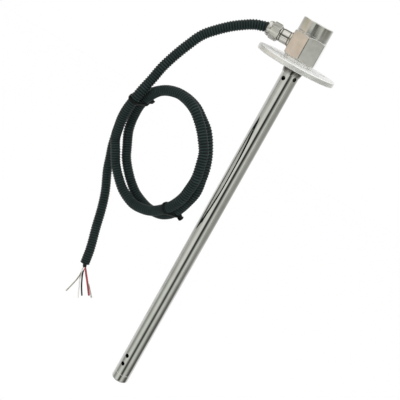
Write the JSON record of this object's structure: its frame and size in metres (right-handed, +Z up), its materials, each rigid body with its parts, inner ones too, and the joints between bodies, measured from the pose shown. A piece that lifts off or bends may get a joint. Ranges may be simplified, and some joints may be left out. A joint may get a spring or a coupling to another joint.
{
  "type": "fuel level sender",
  "caption": "Capacitive fuel level sender: steel probe tube, round bolt flange, hexagonal housing with cap, and a cable in ribbed conduit tied in a loop.",
  "frame": {"origin": "centre of the mounting flange's underside, on the probe's axis", "axes": "+Z up along the probe axis, out of the tank; the cable gland points along -X; the picture looks roughly along +Y"},
  "size_m": [0.1622, 0.086, 0.3781],
  "materials": {
    "flange_steel": "fine turned stainless steel, satin",
    "tube_steel": "polished stainless tube",
    "housing_steel": "turned and polished hexagonal bar",
    "gland_nickel": "nickel plated brass",
    "nickel_parts": "plain steel fasteners and electrode",
    "white_insulator": "white fluoropolymer",
    "seal_rubber": "black rubber",
    "pillar_brass": "turned brass",
    "board_green": "circuit board with green mask",
    "component_black": "moulded component bodies",
    "conduit_black": "ribbed black polyamide conduit, slit along one side",
    "jacket_black": "black cable jacket",
    "tie_black": "black polyamide tie",
    "insulation_red": "red wire insulation",
    "insulation_black": "black wire insulation",
    "insulation_white": "off-white wire insulation",
    "tinned_copper": "twisted tinned copper strands"
  },
  "bodies": {
    "root": {"mounting_flange": "flange_steel", "tube_collar": "tube_steel", "outer_tube": "tube_steel", "tip_ring": "tube_steel", "tip_spacer": "white_insulator", "lower_spacer": "white_insulator", "upper_spacer": "white_insulator", "inner_electrode": "nickel_parts", "feedthrough_bush": "white_insulator", "stud_washer": "nickel_parts", "stud_nut": "nickel_parts", "contact_pin": "pillar_brass", "hex_housing": "housing_steel", "board_pillars": "pillar_brass", "circuit_board": "board_green", "board_components": "component_black", "cap_seal": "seal_rubber", "housing_cap": "housing_steel", "gland_seal": "seal_rubber", "gland_body": "gland_nickel", "gland_nut": "gland_nickel", "inner_cable": "jacket_black", "conduit": "conduit_black", "jacket_end": "jacket_black", "wire_red": "insulation_red", "wire_black": "insulation_black", "wire_white": "insulation_white", "wire_screen": "tinned_copper", "tie_upper": "tie_black", "tie_lower": "tie_black"}
  },
  "joints": []
}
